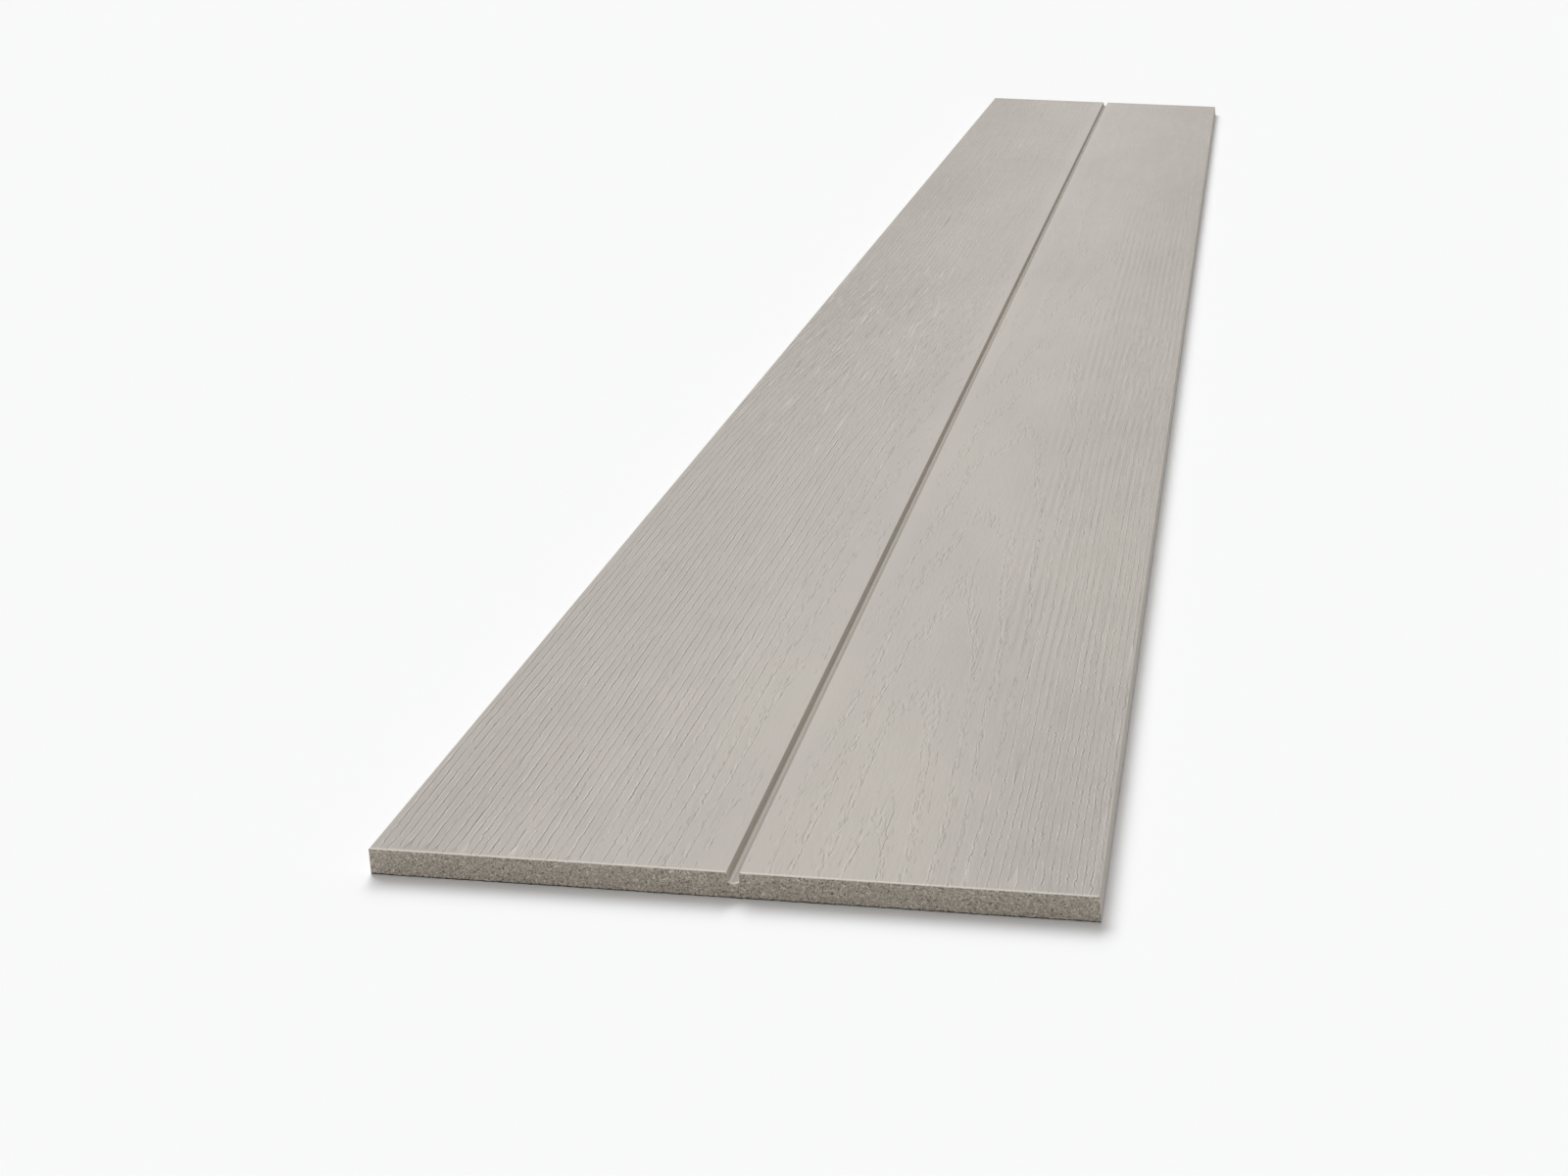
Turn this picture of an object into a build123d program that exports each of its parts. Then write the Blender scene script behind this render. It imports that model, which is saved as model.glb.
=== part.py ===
from build123d import *
import math
import os

# A lap siding board: pressed wood-fibre stock, ripped to width from a wider sheet and painted on
# its face, with one shadow groove run along its middle so that it reads as two narrow courses.
# It lies face up on its flat back: +Y along the length, +X across the width, +Z out of the face.
# The origin is the middle of its footprint. Lengths are in millimetres and angles in degrees.

# The stock: a 12 ft board, 12 in wide and 7/16 in thick
board_length = 3658.0
board_width = 304.8
board_thickness = 11.1

# Both long edges are ripped with the saw tilted the same way, so the section leans:
# the left edge is undercut behind the face and the right edge runs out towards the back
edge_tilt = 6.0

# The shadow groove: run by a tapered cutter that leans like the saw, with a slightly dished floor
groove_width = 5.4
groove_wall_depth = 4.1
groove_dish = 0.55
groove_taper = 4.0
groove_offset = 0.7

# The painted arrises of the face are eased, and the groove's lips a little less
arris_radius = 0.5
lip_radius = 0.2

# Where the section's corners lie
edge_run = board_thickness * math.tan(math.radians(edge_tilt))
overall_width = board_width + edge_run
face_left = -overall_width / 2
face_right = face_left + board_width
back_left = face_left + edge_run
back_right = face_right + edge_run
groove_lip_left = groove_offset - groove_width / 2
groove_lip_right = groove_offset + groove_width / 2
left_lean = math.radians(edge_tilt + groove_taper)
right_lean = math.radians(edge_tilt - groove_taper)
groove_foot_left = groove_lip_left + groove_wall_depth * math.tan(left_lean)
groove_foot_right = groove_lip_right + groove_wall_depth * math.tan(right_lean)
groove_foot_height = board_thickness - groove_wall_depth
groove_bottom_height = groove_foot_height - groove_dish


def board_section():
    """The board's cross-section, seen from its near end, with the face up."""
    with BuildSketch(Plane.XZ) as section:
        with BuildLine():
            Polyline(
                (groove_foot_left, groove_foot_height),
                (groove_lip_left, board_thickness),
                (face_left, board_thickness),
                (back_left, 0),
                (back_right, 0),
                (face_right, board_thickness),
                (groove_lip_right, board_thickness),
                (groove_foot_right, groove_foot_height),
            )
            ThreePointArc(
                (groove_foot_left, groove_foot_height),
                ((groove_foot_left + groove_foot_right) / 2, groove_bottom_height),
                (groove_foot_right, groove_foot_height),
            )
        make_face()
        # Within the sketch the board's height runs along its own Y axis, and the face's four
        # corners from left to right are the left arris, the groove's two lips and the right arris
        corners = section.vertices().group_by(Axis.Y)[-1].sort_by(Axis.X)
        fillet([corners[0], corners[-1]], radius=arris_radius)
        lips = section.vertices().group_by(Axis.Y)[-1].sort_by(Axis.X)[1:-1]
        fillet(lips, radius=lip_radius)
    return section.sketch


def siding_board():
    """The whole board: its section run along the length, both ends cut square."""
    return extrude(board_section(), amount=board_length / 2, both=True)


os.makedirs("parts", exist_ok=True)
export_step(siding_board(), "parts/siding_board.step")
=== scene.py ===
import math

import bpy
import numpy as np
from mathutils import Matrix, Vector
from mathutils.geometry import delaunay_2d_cdt


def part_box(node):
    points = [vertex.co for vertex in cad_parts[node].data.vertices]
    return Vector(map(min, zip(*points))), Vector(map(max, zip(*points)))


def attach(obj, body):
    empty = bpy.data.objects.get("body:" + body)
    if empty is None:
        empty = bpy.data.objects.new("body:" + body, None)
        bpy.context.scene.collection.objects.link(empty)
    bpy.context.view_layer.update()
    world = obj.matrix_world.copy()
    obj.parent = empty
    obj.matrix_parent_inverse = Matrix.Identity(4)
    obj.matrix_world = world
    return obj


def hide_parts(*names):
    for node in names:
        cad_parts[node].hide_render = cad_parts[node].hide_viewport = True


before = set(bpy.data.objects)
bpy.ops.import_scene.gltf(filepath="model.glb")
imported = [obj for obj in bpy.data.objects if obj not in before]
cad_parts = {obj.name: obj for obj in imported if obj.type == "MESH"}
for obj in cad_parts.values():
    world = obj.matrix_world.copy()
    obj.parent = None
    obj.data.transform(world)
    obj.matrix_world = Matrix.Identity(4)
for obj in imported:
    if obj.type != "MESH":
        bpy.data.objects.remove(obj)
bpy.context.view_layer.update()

# The board
# One length of pressed wood-fibre board, with a wood grain pressed into its face. It is ripped to width
# with a tilted saw, grooved along its middle and painted on its face and long edges. Both ends are sawn
# off bare after painting, and the back is left as it came from the press.
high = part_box("siding_board")[1]
half_length = high.y
thickness = high.z
board_width = 0.3048
edge_tilt = math.radians(6.0)
edge_run = thickness * math.tan(edge_tilt)
back_right = high.x
face_right = back_right - edge_run
face_left = face_right - board_width
back_left = face_left + edge_run
middle = (face_left + back_right) / 2
arris_radius = 0.0005
lip_radius = 0.0002
groove_width = 0.0054
groove_wall_depth = 0.0041
groove_dish = 0.00055
groove_offset = 0.0007
groove_taper = math.radians(4.0)
groove_middle = middle + groove_offset
lip_left = groove_middle - groove_width / 2
lip_right = groove_middle + groove_width / 2
foot_left = lip_left + groove_wall_depth * math.tan(edge_tilt + groove_taper)
foot_right = lip_right + groove_wall_depth * math.tan(edge_tilt - groove_taper)
foot_height = thickness - groove_wall_depth


def eased(before, corner, after, radius, steps=5):
    """The arc that eases one corner of the section."""
    corner = np.array(corner)
    back = (before - corner) / np.linalg.norm(before - corner)
    onward = (after - corner) / np.linalg.norm(after - corner)
    half = math.acos(back @ onward) / 2
    centre = corner + (back + onward) / np.linalg.norm(back + onward) * radius / math.sin(half)
    start = corner + back * radius / math.tan(half) - centre
    end = corner + onward * radius / math.tan(half) - centre
    sweep = math.pi - 2 * half
    share = np.linspace(0, 1, steps + 1)[:, None]
    return centre + (np.sin((1 - share) * sweep) * start + np.sin(share * sweep) * end) / math.sin(sweep)


# The section, seen from the near end: up the left edge, over the face and its groove, down the right edge
floor_share = np.linspace(-1, 1, 9)
groove_floor = np.stack(
    [
        (foot_left + foot_right) / 2 + floor_share * (foot_right - foot_left) / 2,
        foot_height - groove_dish * (1 - floor_share**2),
    ],
    axis=1,
)
face_corners = [(x, thickness) for x in (face_left, lip_left, lip_right, face_right)]
left_foot = (back_left, 0)
right_foot = (back_right, 0)
left_arris = eased(left_foot, face_corners[0], face_corners[1], arris_radius)
left_edge = np.vstack([[left_foot], left_arris])
groove = np.vstack(
    [
        eased(face_corners[0], face_corners[1], groove_floor[0], lip_radius),
        groove_floor,
        eased(groove_floor[-1], face_corners[2], face_corners[3], lip_radius),
    ]
)
right_arris = eased(face_corners[2], face_corners[3], right_foot, arris_radius)
right_edge = np.vstack([right_arris, [right_foot]])
row_count = 62
rows = np.linspace(-half_length, half_length, row_count)
end_step = 0.004


def end_spots(start, end, step=end_step):
    """Places across the width where a flat face's end is divided."""
    first = 0.1 * step
    inner = np.linspace(start + first, end - first, round((end - start) / step))
    return np.concatenate([[start], inner, [end]])


def run_length(line):
    """How far along a bent line each of its points lies."""
    return np.concatenate([[0], np.cumsum(np.linalg.norm(np.diff(line, axis=0), axis=1))])


# How the surface is unrolled: the painted side in three columns, then the back, then the two ends
paint_columns = 3
column_length = 2 * half_length / paint_columns
column_lap = 0.03
column_gap = 0.012
back_start = 0.824
near_end_start = 0.914
far_end_start = 0.957
back_share = 0.98
end_share = 0.97
sheet_rim = 0.01
sheet_scale = 1 / (column_length + 2 * column_lap)
left_run = run_length(left_edge)
left_land_run = left_run[-1]
groove_run = left_land_run + groove[0, 0] - left_edge[-1, 0] + run_length(groove)
right_land_run = groove_run[-1]
right_run = right_land_run + right_edge[0, 0] - groove[-1, 0] + run_length(right_edge)
column_width = right_run[-1] + column_gap


def painted_chart(run, corners):
    """Where triangles of the painted side lie on the unrolled sheet."""
    along = corners[..., 1] + half_length
    column = np.clip(along.mean(1) // column_length, 0, paint_columns - 1)[:, None]
    across = column * column_width + run + column_gap / 2
    return np.stack([across, along - column * column_length + column_lap], -1) * sheet_scale


def back_chart(corners):
    """Where triangles of the back lie on the unrolled sheet."""
    scale = back_share / (2 * half_length)
    spots = np.stack([corners[..., 0] - back_left, corners[..., 1] + half_length], -1) * scale
    return spots + (back_start, sheet_rim)


def end_chart(start, corners):
    """Where triangles of a sawn end lie on the unrolled sheet."""
    scale = end_share / (2 * back_right)
    spots = np.stack([corners[..., 2], corners[..., 0] + back_right], -1) * scale
    return spots + (start, sheet_rim)


hair = 1e-9
patches = []
PAINT, FILM, FIBRE, BACK = range(4)


def add_patch(points, triangles, finish, chart, wear=None, grained=False):
    """Keeps one stretch of the board's surface for the joining at the end."""
    wear = np.zeros(len(points)) if wear is None else wear
    patches.append((points, triangles, finish, chart(points[triangles]), wear, grained))


def fill(outline, inside, stretch=1.0):
    """Triangles over a flat region, from its outline, in order, and the points inside it."""
    spots = np.vstack([outline, inside]) / (1.0, stretch)
    made = delaunay_2d_cdt([Vector(s) for s in spots], [], [list(range(len(outline)))], 1, hair)
    source = [ids[0] for ids in made[3]]
    return np.array([[source[i] for i in face] for face in made[2]])


def add_strip(line, run, wear):
    """Runs one bent stretch of the section along the board, with the painted shading across it."""
    points = np.array([(x, y, z) for y in rows for x, z in line])
    count = len(line)
    first = (np.arange(len(rows) - 1)[:, None] * count + np.arange(count - 1)).ravel()
    triangles = np.vstack(
        [
            np.stack([first, first + count + 1, first + count], 1),
            np.stack([first, first + 1, first + count + 1], 1),
        ]
    )
    runs = np.tile(run, len(rows))

    def chart(corners):
        return painted_chart(runs[triangles], corners)

    add_patch(points, triangles, PAINT, chart, np.tile(wear, len(rows)))


# Painted shading at the points, for the paint's colour: below 0 paler, as painted light, and above 0
# darker, as painted shade. Painted highlights run along every arris, twice as strong along the right one.
# Painted light lifts the shaded left wall of the groove, the foot of its floor beside it and the right
# edge, which faces away from the lamps, and the rest of the groove's floor is painted darker as shade.
arris_highlight = -0.45 * np.sin(np.linspace(0, math.pi, 6))
groove_wall_painted_light = -1.5
groove_floor_painted_shading = [-0.7, -1.8, -1.2, 0.3, 0.5, 0.6, 0.7, 0.7, 0.2]
right_edge_painted_light = -0.9
add_strip(left_edge, left_run, [0, *arris_highlight])
groove_painted_shading = [*arris_highlight[:-1], groove_wall_painted_light, *groove_floor_painted_shading, 0.0, *arris_highlight[1:]]
add_strip(groove, groove_run, groove_painted_shading)
add_strip(right_edge, right_run, [*(2 * arris_highlight[:-1]), right_edge_painted_light, right_edge_painted_light])

# The grain: growth rings of a flat-sawn plank, counted outwards from the heart of the figure, at places
# measured from the face's left edge. Each ring starts with open pores, which are pressed into the face as
# narrow pointed cuts along the grain. Two hearts show, one on each side of the groove.
ring_places = face_left + 0.001 * np.array(
    [-60, 0, 35, 75, 85, 106, 120, 136, 144, 150, 158, 165, 176, 205, 234, 250, 260, 280, 306]
)
ring_counts = [
    48, 32.8, 24, 14, 11.7, 7.2, 4.6, 2.2, 1.5, 2.6, 4.4, 4.2, 3.05, 0.1, 3.05, 4.9, 7.2, 12.8, 20.8
]
place_step = 0.00025
along_step = 0.003
ring_rise = 0.217
rise_limit = 10.0
heart_depth = 0.68
heart_drift = 0.038
drift_start = 0.9
drift_length = 1.1
smooth_width = 0.009

# Two slow waves bend the rings: how far, in rings, and their length across and along the board, where a
# minus slants the wave the other way
ring_waves = ((0.10, 0.031, 0.55), (0.08, 0.083, -0.33))
full_turn = 6.28

fine_places = np.arange(ring_places[0], ring_places[-1], place_step)
window = np.hanning(round(smooth_width / place_step) + 2)
margin = len(window) // 2
padded = np.pad(np.interp(fine_places, ring_places, ring_counts), margin, mode="edge")
fine_counts = np.convolve(padded, window / window.sum(), mode="same")[margin:-margin]


def growth_rings(x, y):
    """The number of the growth ring that shows at a place on the face."""
    along = y + half_length
    drift = np.clip((along - drift_start) / drift_length, 0, 1)
    drift = heart_drift * drift**2 * (3 - 2 * drift)
    out = np.interp(x - drift, fine_places, fine_counts)
    depth = heart_depth + rise_limit * np.tanh(along / ring_rise / rise_limit)
    bends = [
        size * np.sin(full_turn * (x / width + along / length)) for size, width, length in ring_waves
    ]
    return np.sqrt(out**2 + depth**2) + sum(bends)


dice = np.random.default_rng(11)
calm_width = 0.013
calm_loss = 0.9
edge_clear = 0.0012
end_clear = 0.0015
open_ring = 0.0065
wide_ring = 0.0095
twin_ring = 0.0045
steepest_lean = 0.05
fade_length = 0.020
press_depth = 0.00004
grain_stretch = 30.0

# The long cuts of close rings: a weak ring's are narrow and shallow, and a strong ring adds to both
chain_rows = 4
chain_jitter = 0.00017
left_ridge_share = 0.75
least_press = 0.25
narrow_cut = 0.00015
cut_widening = 0.00014
shallow_cut = 0.00003
cut_deepening = 0.00020

# The single pores of open rings, with the least and the most of what varies
pore_share = 0.16
pore_gap = 0.0010
pore_jitter = 0.00025
pore_half_lengths = (0.0035, 0.0110)
pore_half_widths = (0.00016, 0.00032)
pore_depth_shares = (0.5, 0.75)
pore_bottom = 0.3
# How much darker a pore's bottom is painted, as painted shade
pore_painted_shade = 0.6

# How far from a cut's bottom its ridge and its feet lie, in half widths of the cut
ridge_top = 1.6
ridge_foot = 3.4
plain_foot = 1.4


def press(x):
    """How deep the grain is pressed at a place across the face: most along the left edge."""
    return np.interp(x - face_left, [0.045, 0.100, 0.140, 0.260], [0.9, 0.8, 0.45, 0.5])


def calmness(x):
    """1 on the plain stretch beside the groove, where the grain fades out, and 0 away from it."""
    return np.exp(-(((x - middle) / calm_width) ** 2))


def ring_crossings(x, y, shift=0.0):
    """Where the rings' starts cross rows along the face: place, row, flank, lean and gap to the next."""
    count = growth_rings(x, y[:, None]) - shift
    whole = np.floor(count)
    row, column = np.nonzero(whole[1:-1, 1:] != whole[1:-1, :-1])
    row = row + 1
    ring = np.maximum(whole[row, column], whole[row, column + 1]).astype(int)
    across = (count[row, column + 1] - count[row, column]) / place_step
    along = (count[row + 1, column] - count[row - 1, column]) / (2 * along_step)
    gap = 1 / np.maximum(abs(across), 1.0)
    place = x[column] + (ring - count[row, column]) / across
    lean = np.clip(-along / across, -steepest_lean, steepest_lean)
    return place, row, 2 * ring + (across > 0), lean, gap


def ring_strength(flank, along, table):
    """How deep a ring is pressed at a place along it: each ring fades in and out in its own way."""
    place = along / fade_length
    cell = np.floor(place).astype(int)
    share = place - cell
    share = share * share * (3 - 2 * share)
    return table[flank, cell] * (1 - share) + table[flank, cell + 1] * share


def pressed_grain(start, end):
    """The grain between two edges of the face: long cuts for close rings, single pores for open ones."""
    x = np.arange(start, end, place_step)
    y = np.arange(end_clear - half_length - along_step, half_length - end_clear + along_step, along_step)
    flanks = 2 * int(growth_rings(x, y[:, None]).max() + 2)

    # Close rings: each is a long wavering cut with a slight ridge beside it, and often a fainter twin
    chains = []
    for shift, faintest, deepest in ((0.0, 0.34, 1.25), (0.5, 0.50, 0.4)):
        place, row, flank, _, gap = ring_crossings(x, y, shift)
        fades = dice.random((flanks, int(2 * half_length / fade_length) + 3))
        phases = dice.integers(0, chain_rows, flanks)
        sides = np.where(dice.random(flanks) < left_ridge_share, -1.0, 1.0)
        strength = ring_strength(flank, y[row] + half_length, fades) * (1 - calm_loss * calmness(place))
        chosen = ((row + phases[flank]) % chain_rows == 0) & (gap < wide_ring) & (strength > faintest)
        chosen &= (shift == 0) | (gap > twin_ring)
        strength = least_press + (1 - least_press) * strength[chosen]
        strength = strength * deepest * press(place[chosen])
        place = place[chosen] + dice.normal(0, chain_jitter, chosen.sum())
        half_width = narrow_cut + cut_widening * strength
        depth = shallow_cut + cut_deepening * strength
        side = sides[flank[chosen]]
        chains.append(np.stack([place, y[row[chosen]], half_width, depth, side, strength], 1))
    chain = np.vstack(chains)
    chain = chain[(chain[:, 0] > start + edge_clear) & (chain[:, 0] < end - edge_clear)]

    # Open rings: each starts with a few rows of single pores
    singles = []
    for shift in (0.0, 0.2, 0.4):
        place, row, _, lean, gap = ring_crossings(x, y, shift)
        narrowest = wide_ring if shift == 0 else open_ring
        chosen = (gap > narrowest) & (dice.random(len(place)) < pore_share)
        singles.append(np.stack([place, y[row], lean], 1)[chosen])
    place, along, lean = np.vstack(singles).T
    place = place + dice.normal(0, pore_jitter, len(place))
    half = dice.uniform(*pore_half_lengths, len(place))
    half_width = dice.uniform(*pore_half_widths, len(place))
    depth = half_width * dice.uniform(*pore_depth_shares, len(place))
    kept = dice.random(len(place)) < 1 - calm_loss * calmness(place)
    kept &= (place > start + edge_clear) & (place < end - edge_clear)
    kept &= abs(along) + half < half_length - end_clear
    pores = np.stack([place, along, half, half_width, depth, lean], 1)[kept]
    return chain, apart(pores, chain)


def apart(pores, chain):
    """Leaves out each pore that would run into a chain or into a pore kept before it."""
    cell_width, cell_length = 0.0012, 0.016
    chain_half = chain_rows * along_step * 0.6
    around = [(i, j) for i in (-1, 0, 1) for j in (-1, 0, 1)]
    taken = {}
    for x, y in chain[:, :2]:
        cell = (int(x // cell_width), int(y // cell_length))
        taken.setdefault(cell, []).append((x, y, chain_half))
    chosen = []
    for index, (x, y, half) in enumerate(pores[:, :3]):
        cell = (int(x // cell_width), int(y // cell_length))
        near = [c for i, j in around for c in taken.get((cell[0] + i, cell[1] + j), ())]
        if any(abs(x - c[0]) < pore_gap and abs(y - c[1]) < half + c[2] for c in near):
            continue
        taken.setdefault(cell, []).append((x, y, half))
        chosen.append(index)
    return pores[chosen]


def add_land(start, end, run):
    """One of the face's two flats, with its grain pressed in."""
    spots = end_spots(start, end)
    outline = np.vstack(
        [
            [(x, -half_length) for x in spots],
            [(end, y) for y in rows[1:-1]],
            [(x, half_length) for x in spots[::-1]],
            [(start, y) for y in rows[-2:0:-1]],
        ]
    )
    chain, pores = pressed_grain(start, end)
    x, y, half_width, depth, side, strength = chain.T
    flat = np.zeros_like(x)
    # Each corner: place, depth below the face and painted shading: the cut's bottom is painted dark as
    # painted shade and its ridge paler as a painted highlight
    corners = [
        (x, y, depth, strength),
        (x + side * ridge_top * half_width, y, -press_depth * np.minimum(strength, 1), -strength),
        (x + side * ridge_foot * half_width, y, flat, flat),
        (x - side * plain_foot * half_width, y, flat, flat),
    ]
    x, y, half, half_width, depth, lean = pores.T
    flat = np.zeros_like(x)
    # Each pore's bottom point carries its painted shade
    corners += [
        (x - lean * half, y - half, flat, flat),
        (x + lean * half, y + half, flat, flat),
        (x - half_width, y, flat, flat),
        (x + half_width, y, flat, flat),
        (x + pore_bottom * half_width, y, depth, flat + pore_painted_shade),
    ]
    inside = np.vstack([np.stack(c, 1) for c in corners])
    triangles = fill(outline, inside[:, :2], grain_stretch)
    heights = np.concatenate([np.full(len(outline), thickness), thickness - press_depth - inside[:, 2]])
    points = np.column_stack([np.vstack([outline, inside[:, :2]]), heights])
    wear = np.concatenate([np.zeros(len(outline)), inside[:, 3]])

    def chart(corners):
        return painted_chart(run + corners[..., 0] - start, corners)

    add_patch(points, triangles, PAINT, chart, wear, grained=True)


add_land(left_edge[-1, 0], groove[0, 0], left_land_run)
add_land(groove[-1, 0], right_edge[0, 0], right_land_run)

# The sawn ends: a rim of cut paint film along the face and the groove, and the rough bare fibre under
# it. The saw leaves pits, and tears the fibre out along the lower edge.
film_width = 0.00035
groove_film_width = 0.0006
fibre_step = 0.0011
fibre_scatter = 0.3
lower_margin = fibre_step * 0.7
side_margin = fibre_step * 0.6
top_margin = fibre_step * 0.45
rough_depth = 0.00016
chip_step = 0.0016
chip_share = 0.8
chip_depths = (0.0001, 0.0006)
pit_count = 70
pit_depths = (0.0003, 0.0007)
back_spots = end_spots(back_left, back_right, chip_step)
end_chips = {}


def add_end(side, chart_start):
    """One sawn end: side is -1 for the near one and 1 for the far one."""
    face_line = np.vstack(
        [
            [(x, thickness) for x in end_spots(left_edge[-1, 0], groove[0, 0])],
            groove[1:-1],
            [(x, thickness) for x in end_spots(groove[-1, 0], right_edge[0, 0])],
        ]
    )
    x, z = face_line.T
    on_land = (z > thickness - hair) & (x > x[0]) & (x < x[-1])
    on_land &= (x < groove[0, 0]) | (x > groove[-1, 0])
    floor_place = (2 * x - foot_left - foot_right) / (foot_right - foot_left)
    on_floor = (z < foot_height + hair) & (abs(floor_place) < 0.999)
    floor_widths = np.where(on_floor, groove_film_width * (1 - floor_place**2), 0)
    widths = np.where(on_land, film_width, floor_widths)
    film_line = np.stack([x, z - widths], 1)
    count = len(face_line)
    first = np.arange(count - 1)
    rim = np.vstack([face_line, film_line])
    triangles = np.vstack(
        [
            np.stack([first + count, first + count + 1, first + 1], 1)[widths[1:] > 0],
            np.stack([first + count, first + 1, first], 1)[widths[:-1] > 0],
        ]
    )
    lower = np.stack([back_spots, np.zeros_like(back_spots)], 1)
    outline = np.vstack([lower, right_edge[-2::-1], film_line[-2:0:-1], left_edge[:0:-1]])
    grid = np.stack(
        np.meshgrid(
            np.arange(back_left + fibre_step, back_right - fibre_step, fibre_step),
            np.arange(lower_margin, thickness - side_margin, fibre_step),
        ),
        -1,
    ).reshape(-1, 2)
    grid = grid + dice.uniform(-fibre_scatter, fibre_scatter, grid.shape) * fibre_step
    top = np.interp(grid[:, 0], film_line[:, 0], film_line[:, 1])
    sides = np.interp(grid[:, 1], [0, thickness], [0, edge_run])
    inside = grid[
        (grid[:, 1] < top - top_margin)
        & (grid[:, 0] > back_left - sides + side_margin)
        & (grid[:, 0] < back_right - sides - side_margin)
    ]
    sunk = np.concatenate([np.zeros(len(outline)), dice.uniform(0, rough_depth, len(inside))])
    pits = len(outline) + dice.choice(len(inside), pit_count, replace=False)
    sunk[pits] = dice.uniform(*pit_depths, len(pits))
    chips = dice.uniform(*chip_depths, len(back_spots)) * (dice.random(len(back_spots)) < chip_share)
    chips[[0, -1]] = 0
    sunk[:len(back_spots)] = chips
    end_chips[side] = chips
    order = slice(None) if side < 0 else slice(None, None, -1)
    end_place = side * half_length

    def stand(spots, sunk):
        return np.stack([spots[:, 0], end_place - side * sunk, spots[:, 1]], 1)

    def chart(corners):
        return end_chart(chart_start, corners)

    add_patch(stand(rim, np.zeros(len(rim))), triangles[:, order], FILM, chart)
    add_patch(stand(np.vstack([outline, inside]), sunk), fill(outline, inside)[:, order], FIBRE, chart)


add_end(-1, near_end_start)
add_end(1, far_end_start)

# The back, flat as it came from the press, meeting the torn lower edges of the ends
back_columns = 7
back_stretch = 4.0
back_outline = np.vstack(
    [
        np.stack([back_spots, end_chips[-1] - half_length], 1),
        [(back_right, y) for y in rows[1:-1]],
        np.stack([back_spots, half_length - end_chips[1]], 1)[::-1],
        [(back_left, y) for y in rows[-2:0:-1]],
    ]
)
back_lines = np.linspace(back_left, back_right, back_columns)
back_middle = np.array([(x, y) for x in back_lines[1:-1] for y in rows[1:-1]])
back_points = np.vstack([back_outline, back_middle])
back_triangles = fill(back_outline, back_middle, back_stretch)[:, ::-1]
add_patch(np.column_stack([back_points, np.zeros(len(back_points))]), back_triangles, BACK, back_chart)

# All the stretches are joined into one closed skin
points, triangles, finishes, charts, painted_shadings, with_grain = zip(*patches)
counts = [len(t) for t in triangles]
starts = np.cumsum([0] + [len(p) for p in points])
all_points = np.vstack(points)
all_triangles = np.vstack([t + start for t, start in zip(triangles, starts)])
weld_size = 1e-7
_, kept, place_of = np.unique(
    np.round(all_points / weld_size).astype(np.int64), axis=0, return_index=True, return_inverse=True
)
used, triangles = np.unique(place_of.ravel()[all_triangles], return_inverse=True)
triangles = triangles.reshape(-1, 3)
kept = kept[used]
board_mesh = bpy.data.meshes.new("grained_board")
board_mesh.from_pydata(all_points[kept], [], triangles)
board_mesh.polygons.foreach_set("material_index", np.repeat(finishes, counts))
sheet = board_mesh.uv_layers.new(name="OFBake")
sheet.data.foreach_set("uv", np.concatenate([c.ravel() for c in charts]))
# The painted shading of each point: painted light below 0 and painted shade above 0, for the paint's
# colour
wear = board_mesh.attributes.new("wear", "FLOAT", "POINT")
wear.data.foreach_set("value", np.concatenate(painted_shadings)[kept])

# Eased corners shade as round, while the cuts of the grain and the section's corners stay crisp
grain_crease = 3.0
section_crease = 27.0
corners = all_points[kept][triangles]
facing = np.cross(corners[:, 1] - corners[:, 0], corners[:, 2] - corners[:, 0])
facing /= np.linalg.norm(facing, axis=1)[:, None]
loop_edges = np.zeros(len(triangles) * 3, np.int32)
board_mesh.loops.foreach_get("edge_index", loop_edges)
pairs = np.argsort(loop_edges, kind="stable").reshape(-1, 2) // 3
in_grain = np.repeat(with_grain, counts)[pairs].all(1)
fold = np.degrees(np.arccos(np.clip((facing[pairs[:, 0]] * facing[pairs[:, 1]]).sum(1), -1, 1)))
crisp = fold > np.where(in_grain, grain_crease, section_crease)
sharp_edges = board_mesh.attributes.new("sharp_edge", "BOOLEAN", "EDGE")
sharp_edges.data.foreach_set("value", crisp)
board_mesh.polygons.foreach_set("use_smooth", np.ones(len(triangles), bool))
board_mesh.update()
board = bpy.data.objects.new("grained_board", board_mesh)
bpy.context.collection.objects.link(board)


def set_socket(node, name, value):
    """Feeds one socket of a node with a value or a wire."""
    if isinstance(value, Wire):
        value.tree.links.new(value.socket, node.inputs[name])
    else:
        node.inputs[name].default_value = value


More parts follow.
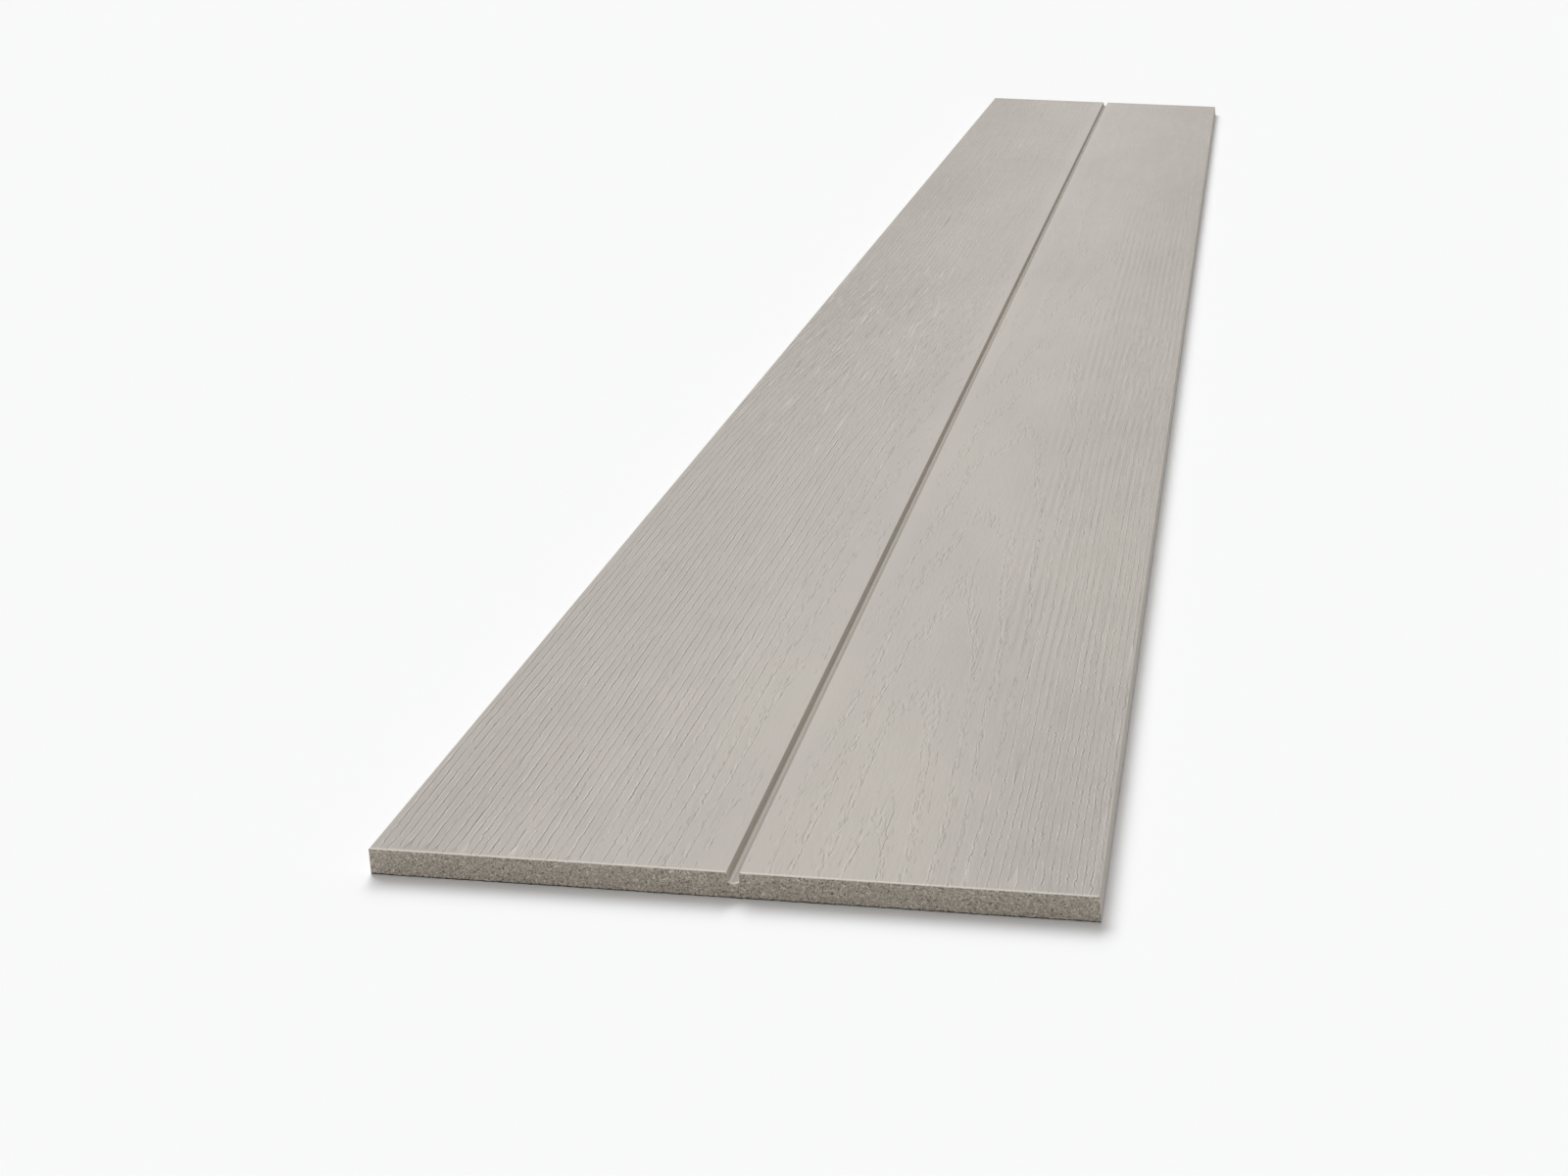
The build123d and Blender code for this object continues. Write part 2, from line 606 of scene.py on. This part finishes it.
class Wire:
    """One output of a material's nodes. Sums and products of wires add Math nodes."""

    def __init__(self, socket):
        self.socket = socket
        self.tree = socket.id_data

    def add(self, kind, settings=None, sockets=None, output=0):
        """Adds a node: its settings first, then the values or wires of its sockets."""
        node = self.tree.nodes.new("ShaderNode" + kind)
        for name, value in (settings or {}).items():
            if name == "points":
                line = node.mapping.curves[0].points
                line[0].location, line[1].location = value[0], value[-1]
                for spot in value[1:-1]:
                    line.new(*spot)
                node.mapping.update()
            else:
                setattr(node, name, value)
        for name, value in (sockets or {}).items():
            set_socket(node, name, value)
        return Wire(node.outputs[output])

    def maths(self, operation, first, second=0.0):
        """One Math node over one or two values."""
        return self.add("Math", {"operation": operation}, {0: first, 1: second})

    def __add__(self, other):
        return self.maths("ADD", self, other)

    def __radd__(self, other):
        return self.maths("ADD", other, self)

    def __sub__(self, other):
        return self.maths("SUBTRACT", self, other)

    def __rsub__(self, other):
        return self.maths("SUBTRACT", other, self)

    def __mul__(self, other):
        return self.maths("MULTIPLY", self, other)

    def __rmul__(self, other):
        return self.maths("MULTIPLY", other, self)

    def between(self, low, high):
        """0 below low, 1 above high and a soft step from one to the other."""
        sockets = {"Value": self, "From Min": low, "From Max": high}
        return self.add("MapRange", {"interpolation_type": "SMOOTHSTEP"}, sockets)

    def noise(self, scale, detail=2.0, roughness=0.5, turn=0.0):
        """Soft noise over this place, with its own scale along each axis."""
        sockets = {"Vector": self, "Rotation": (0.0, turn, 0.0)}
        spot = self.add("Mapping", {"vector_type": "POINT"}, sockets)
        spot = spot.add("VectorMath", {"operation": "MULTIPLY"}, {0: spot, 1: scale})
        sockets = {"Vector": spot, "Scale": 1.0, "Detail": detail, "Roughness": roughness}
        return spot.add("TexNoise", None, sockets)

    def blend(self, first, second):
        """One colour where this share is 0 and another where it is 1: a Mix node's sockets 6 and 7."""
        sockets = {"Factor": self, 6: first, 7: second}
        return self.add("Mix", {"data_type": "RGBA"}, sockets, output=2)

    def shade(self, colour, share):
        """This colour, part of the way to another one."""
        return share.blend(self, colour)


def srgb(red, green, blue):
    """A colour as a shader takes it, from its screen levels."""
    levels = np.array((red, green, blue)) / 255
    return (*np.where(levels > 0.04045, ((levels + 0.055) / 1.055) ** 2.4, levels / 12.92), 1.0)


def new_finish(name):
    """A new material on the board, its shader and the place on the surface."""
    material = bpy.data.materials.new(name)
    material.use_nodes = True
    nodes = material.node_tree.nodes
    board_mesh.materials.append(material)
    place = Wire(nodes.new("ShaderNodeTexCoord").outputs["Object"])
    return place, nodes["Principled BSDF"]


def bumped(height, distance):
    """A normal from a height, in metres of relief at a height of 1."""
    return height.add("Bump", None, {"Strength": 1.0, "Distance": distance, "Height": height})


# Paint: a flat warm grey, sprayed and baked on. Its colour carries painted shade in the cuts of the grain
# and painted highlights along ridges and edges. Fine dashes, painted as dark and pale pairs of painted
# relief shading, gather where each growth ring starts, and further along the board the rings show as soft
# ripples.
place, shader = new_finish("warm_grey_paint")
# The paint's darker and paler tones: its own tone, and also painted shade and painted highlights
dark_paint_and_shade = srgb(112, 106, 98)
pale_paint_and_highlight = srgb(245, 240, 231)
wear = place.add("Attribute", {"attribute_name": "wear"}, None, output="Fac")
across = place.add("SeparateXYZ", None, {"Vector": place}, output="X")
lengthways = place.add("SeparateXYZ", None, {"Vector": place}, output="Y")
along = lengthways + half_length
most_rings = max(ring_counts)
reach = fine_places[-1] - fine_places[0]
curve_step = 24
curve_places = (fine_places[::curve_step] - fine_places[0]) / reach
curve_counts = fine_counts[::curve_step] / most_rings
ring_line = list(zip(curve_places, curve_counts))
drift = along.between(drift_start, drift_start + drift_length) * heart_drift + fine_places[0]
depth = along.maths("TANH", along * (1 / ring_rise / rise_limit)) * rise_limit + heart_depth


def rings_at(across):
    """The number of the growth ring that shows at a place, as the pressed cuts have it."""
    share = (across - drift) * (1 / reach)
    out = share.add("FloatCurve", {"points": ring_line}, {"Value": share}) * most_rings
    count = out.maths("SQRT", out * out + depth * depth)
    for size, width, length in ring_waves:
        bend = out.maths("SINE", across * (full_turn / width) + along * (full_turn / length))
        count = count + bend * size
    return count


wander = (place.noise((28.0, 60.0, 28.0), 2.0) - 0.5) * 0.0022
wander = wander + (place.noise((320.0, 170.0, 320.0), 1.0) - 0.5) * 0.0024
slope_step = 0.0008
millimetre = 0.001
count = rings_at(across + wander)
slope = (rings_at(across + wander + slope_step) - count) * (millimetre / slope_step)


def beside_ring(start, end):
    """1 where a ring starts between two distances to the right, in millimetres, and 0 elsewhere."""
    first = count.maths("FLOOR", count + slope * start)
    last = count.maths("FLOOR", count + slope * end)
    return count.maths("MINIMUM", count.maths("ABSOLUTE", last - first), 1.0)


open_rings = across.between(face_left + 0.095, face_left + 0.125) * (
    1.0 - across.between(face_left + 0.235, face_left + 0.265)
)
phase = count.maths("FRACT", count)
ring_start = phase.between(0.0, 0.06) * (1.0 - phase.between(0.14, 0.34))
ripple = phase.between(0.0, 0.5) * (1.0 - phase.between(0.5, 1.0))
ring_middle = ripple * (1.0 - open_rings)
grained = across.maths("ABSOLUTE", across - middle).between(0.006, 0.020)
patchy = 0.55 + 0.45 * place.noise((22.0, 12.0, 22.0), 1.0).between(0.35, 0.60)
dashed = (0.12 + 0.88 * place.noise((160.0, 70.0, 160.0), 1.0).between(0.46, 0.58)) * patchy * grained
# Painted shade in the cut where each ring starts, and painted highlights along its lips
cut = beside_ring(-0.35, 0.35)
lip_highlights = beside_ring(0.35, 0.9) + 0.6 * beside_ring(-1.0, -0.35)
dash_width = 0.00042
dash_edge = (0.51, 0.55)
dash_scale = (560.0, 62.0, 560.0)
# The dashes are painted with a dark and a pale side, like relief lit from the left: painted relief shading
beside = place.add("VectorMath", {"operation": "ADD"}, {0: place, 1: (dash_width, 0.0, 0.0)})
dash = place.noise(dash_scale, 2.0).between(*dash_edge)
gather = (0.24 + 0.76 * ring_start) * (0.3 + 0.7 * grained) * (0.65 + 0.35 * open_rings)
painted_dash_shading = (dash - beside.noise(dash_scale, 2.0).between(*dash_edge)) * gather
band = place.noise((120.0, 18.0, 120.0), 2.0)
cloud = place.noise((9.0, 2.2, 9.0), 3.0)
speck = place.noise((1500.0, 900.0, 1500.0), 2.0)
colour = cloud.between(0.3, 0.7).blend(srgb(186, 180, 173), srgb(191, 185, 177))
away = across.maths("ABSOLUTE", across - middle).between(0.05, 0.15)
banded = band.between(0.3, 0.7) * (0.07 - 0.03 * ring_middle) * (1.0 - 0.5 * open_rings)
colour = colour.shade(dark_paint_and_shade, grained * banded + away * 0.12)

# Straight ripples along the right of the board, and soft ones that follow the rings further back
ripple_width = 0.0050
right_side = across.between(face_left + 0.205, face_left + 0.245)
straight = across + (place.noise((40.0, 1.6, 40.0), 1.0) - 0.5) * 0.008
straight = straight.maths("FRACT", straight * (1 / ripple_width))
straight = straight.between(0.0, 0.5) * (1.0 - straight.between(0.5, 1.0))
rippled = right_side * along.between(0.15, 0.45) * (1.0 - along.between(2.0, 2.8))
rippled = rippled * (0.2 + 0.8 * place.noise((70.0, 13.0, 70.0), 1.0).between(0.40, 0.60))
soft_ripple = ripple * along.between(0.8, 1.9) * (1.0 - 0.65 * across.between(middle, middle + 0.02))
colour = colour.shade(dark_paint_and_shade, grained * soft_ripple * 0.09 + straight * rippled * 0.11)
colour = colour.shade(pale_paint_and_highlight, (1.0 - straight) * rippled * 0.05)

# The cuts of the rings, painted dark as painted shade with painted highlights along their lips, one cut
# along the right arris, the dashes between the rings as pairs of painted shade and painted highlight, and
# the painted shading of the points, with a frayed pale rim at both ends
last_cut = across.between(face_right - 0.0022, face_right - 0.0016) * (
    1.0 - across.between(face_right - 0.0013, face_right - 0.0008)
)
colour = colour.shade(dark_paint_and_shade, cut * dashed * 0.31 + last_cut * 0.12)
colour = colour.shade(pale_paint_and_highlight, lip_highlights * dashed * 0.20)
colour = colour.shade(dark_paint_and_shade, painted_dash_shading.maths("MAXIMUM", 0.0 - painted_dash_shading, 0.0) * 0.44)
colour = colour.shade(pale_paint_and_highlight, painted_dash_shading.maths("MAXIMUM", painted_dash_shading, 0.0) * 0.26)
# Painted shade where the points' shading is above 0, painted light where it is below 0
colour = colour.shade(srgb(92, 86, 79), wear.maths("MAXIMUM", wear, 0.0) * 0.4)
colour = colour.shade(srgb(236, 230, 221), wear.maths("MAXIMUM", 0.0 - wear, 0.0) * 0.5)
from_middle = lengthways.maths("ABSOLUTE", lengthways)
frayed = from_middle.between(half_length - 0.0022, half_length - 0.0006)
colour = colour.shade(srgb(226, 219, 209), frayed * 0.6)
set_socket(shader, "Base Color", colour)
set_socket(shader, "Roughness", 0.8 + 0.1 * painted_dash_shading)
set_socket(shader, "Specular IOR Level", 0.008)
relief = speck * 0.1 + dash * gather * 0.5
set_socket(shader, "Normal", bumped(relief, 0.00012))

# Cut paint film: the edge of paint and primer that the saw lays bare along the face and the groove. It is
# paler than the face, and a little ragged.
place, shader = new_finish("cut_paint_film")
ragged = place.noise((900.0, 900.0, 900.0), 2.0)
colour = ragged.between(0.35, 0.65).blend(srgb(208, 201, 191), srgb(229, 223, 214))
set_socket(shader, "Base Color", colour)
set_socket(shader, "Roughness", 0.6 + 0.2 * ragged)

# Bare fibre: short pale strands lying all ways in a grey-brown ground, with dark specks. Along the foot it
# is darkened, partly for fibre the saw tears and partly as a painted contact shadow.
place, shader = new_finish("bare_fibre")
ground = place.noise((800.0, 800.0, 1000.0), 3.0)
strands = None
for turn_degrees in (-60.0, -30.0, 0.0, 30.0, 60.0):
    strand = place.noise((700.0, 700.0, 3000.0), 2.0, 0.55, math.radians(turn_degrees))
    patch = place.noise((600.0 + turn_degrees, 600.0, 700.0), 1.0).between(0.44, 0.58)
    strand = strand.between(0.53, 0.63) * patch
    strands = strand if strands is None else strands.maths("MAXIMUM", strands, strand)
specks = place.noise((1300.0, 1300.0, 1300.0), 1.0).between(0.63, 0.72)
upward = place.add("SeparateXYZ", None, {"Vector": place}, output="Z")
# Darker along the foot: torn fibre and a painted contact shadow
torn_and_shadowed = 1.0 - (upward + ground * 0.0008).between(0.0006, 0.0011)
colour = ground.between(0.35, 0.65).blend(srgb(145, 136, 125), srgb(176, 167, 155))
colour = colour.shade(srgb(222, 213, 200), strands * 0.9)
colour = colour.shade(srgb(58, 52, 46), specks * 0.65)
colour = colour.shade(srgb(32, 27, 22), torn_and_shadowed * 0.9)
set_socket(shader, "Base Color", colour)
set_socket(shader, "Roughness", 0.85 + 0.1 * ground)
set_socket(shader, "Specular IOR Level", 0.1)
set_socket(shader, "Normal", bumped(strands * 0.7 + ground * 0.4 - specks, 0.0003))

# Pressed back: the same fibre, closed and smooth where it lay against the plate of the press. It is left
# without paint.
place, shader = new_finish("pressed_back")
ground = place.noise((55.0, 55.0, 55.0), 4.0)
strands = place.noise((420.0, 90.0, 420.0), 3.0, 0.6)
colour = ground.between(0.35, 0.65).blend(srgb(140, 130, 118), srgb(154, 144, 131))
colour = colour.shade(srgb(176, 165, 150), strands.between(0.55, 0.75) * 0.5)
set_socket(shader, "Base Color", colour)
set_socket(shader, "Roughness", 0.7 + 0.15 * ground)
set_socket(shader, "Normal", bumped(strands, 0.00012))

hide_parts("siding_board")
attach(board, "root")

# The floor
# A wide plain studio floor, white and matt, that takes the board's soft shadow. It lies a hair under the
# board, so that the two surfaces never meet.
floor_mesh = bpy.data.meshes.new("studio_floor")
floor_reach = 40.0
floor_drop = 0.00005
floor_mesh.from_pydata(
    [(x * floor_reach, y * floor_reach, 0.0) for x, y in ((-1, -1), (1, -1), (1, 1), (-1, 1))],
    [],
    [(0, 1, 2, 3)],
)
floor = bpy.data.objects.new("studio_floor", floor_mesh)
floor.location.z = -floor_drop
bpy.context.collection.objects.link(floor)
floor_paint = bpy.data.materials.new("white_floor")
floor_paint.use_nodes = True
floor_shader = floor_paint.node_tree.nodes["Principled BSDF"]
set_socket(floor_shader, "Base Color", srgb(250, 250, 250))
set_socket(floor_shader, "Roughness", 1.0)
set_socket(floor_shader, "Specular IOR Level", 0.0)
floor_mesh.materials.append(floor_paint)

# The light
# A white room all round, four soft lamps one above the other behind the board, which lean over from its
# left and throw its shadow forwards, and one low lamp in front that fills the near end.
scene = bpy.context.scene
scene.view_settings.view_transform = "Standard"
room_colour = (1.0, 0.98, 0.95, 1.0)
room_strength = 0.285
lamp_colour = (0.99, 1.0, 1.02)
room = bpy.data.worlds.new("white_room")
room.use_nodes = True
set_socket(room.node_tree.nodes["Background"], "Color", room_colour)
set_socket(room.node_tree.nodes["Background"], "Strength", room_strength)
scene.world = room

# Each lamp's height, turned up from the floor behind the board, its lean to the left, its share of the
# light on the floor and how wide it looks. Angles are in degrees, so 165 is a low lamp in front.
for height, lean, share, size in (
    (62, 14, 0.075, 32),
    (43, 34, 0.20, 25),
    (31, 26, 0.18, 22),
    (23, 20, 0.19, 18),
    (165, 0, 0.07, 24),
):
    lamp = bpy.data.objects.new("soft_lamp", bpy.data.lights.new("soft_lamp", "SUN"))
    sideways = -math.tan(math.radians(lean))
    backwards = 1 / math.tan(math.radians(height))
    toward_lamp = Vector((sideways, backwards, 1.0)).normalized()
    lamp.data.angle = math.radians(size)
    lamp.data.color = lamp_colour
    lamp.data.energy = share * math.pi / toward_lamp.z
    lamp.rotation_euler = toward_lamp.to_track_quat("Z", "Y").to_euler()
    bpy.context.collection.objects.link(lamp)

# The camera
# It stands in front of the near end, a little to the right of the board, and looks down along it. The
# picture is tilted by a degree or two.
camera = bpy.data.objects.new("camera", bpy.data.cameras.new("camera"))
camera.data.sensor_width = 36.0
camera.data.lens = 83.25
camera_place = (0.1923, -3.2488, 0.4578)
yaw, pitch, roll = (math.radians(a) for a in (-6.978, 12.812, 1.680))
ahead = Vector((math.sin(yaw) * math.cos(pitch), math.cos(yaw) * math.cos(pitch), -math.sin(pitch)))
level = Vector((math.cos(yaw), -math.sin(yaw), 0.0))
upright = level.cross(ahead)
right = level * math.cos(roll) + upright * math.sin(roll)
up = upright * math.cos(roll) - level * math.sin(roll)
turned = Matrix((right, up, -ahead)).transposed().to_4x4()
camera.matrix_world = Matrix.Translation(camera_place) @ turned
camera.data.clip_start = 0.05
camera.data.clip_end = 200.0
bpy.context.collection.objects.link(camera)
scene.camera = camera
